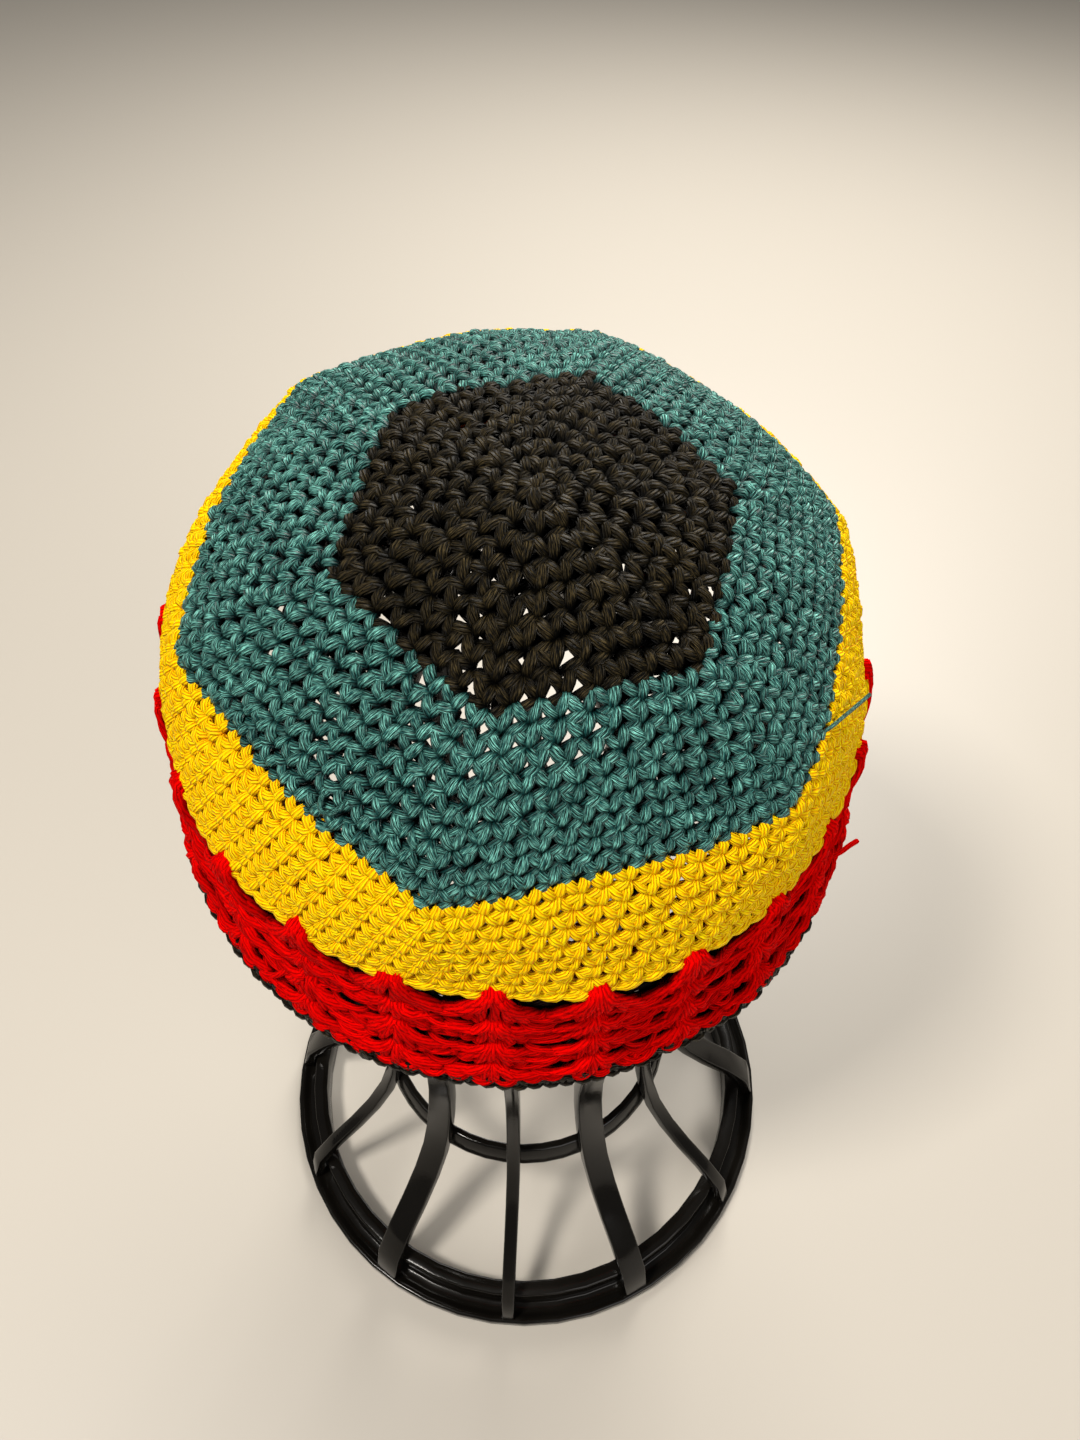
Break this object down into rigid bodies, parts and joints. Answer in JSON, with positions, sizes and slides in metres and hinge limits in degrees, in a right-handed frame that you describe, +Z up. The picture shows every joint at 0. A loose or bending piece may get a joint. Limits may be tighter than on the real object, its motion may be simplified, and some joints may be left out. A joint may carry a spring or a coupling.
{
  "type": "crocheted tam on an openwork hat stand",
  "caption": "Loose crocheted cap with a hexagonal crown, plain bands, a lace band and a thin hem, resting on an open ribbed stand.",
  "frame": {"origin": "middle of the whole part's box, on the surface that the stand rests on", "axes": "+Z up, -Y towards the front of the tam, where its hem is lowest, +X to the right seen from the front"},
  "size_m": [0.1908, 0.2094, 0.2955],
  "materials": {
    "black_yarn": "matt crocheted cotton, near black",
    "teal_yarn": "crocheted cotton with a slight sheen, dark teal",
    "yellow_yarn": "crocheted cotton, strong yellow",
    "red_yarn": "crocheted cotton lace, strong red",
    "black_plastic": "satin black moulded plastic"
  },
  "bodies": {
    "root": {"crown_black": "black_yarn", "crown_teal": "teal_yarn", "band_yellow": "yellow_yarn", "band_red_lace": "red_yarn", "hem_black": "black_yarn", "stand_foot_ring": "black_plastic", "stand_collar_ring": "black_plastic", "stand_top_hub": "black_plastic", "stand_rib_01": "black_plastic", "stand_rib_02": "black_plastic", "stand_rib_03": "black_plastic", "stand_rib_04": "black_plastic", "stand_rib_05": "black_plastic", "stand_rib_06": "black_plastic", "stand_rib_07": "black_plastic", "stand_rib_08": "black_plastic", "stand_rib_09": "black_plastic", "stand_rib_10": "black_plastic", "stand_rib_11": "black_plastic", "stand_rib_12": "black_plastic"}
  },
  "joints": []
}
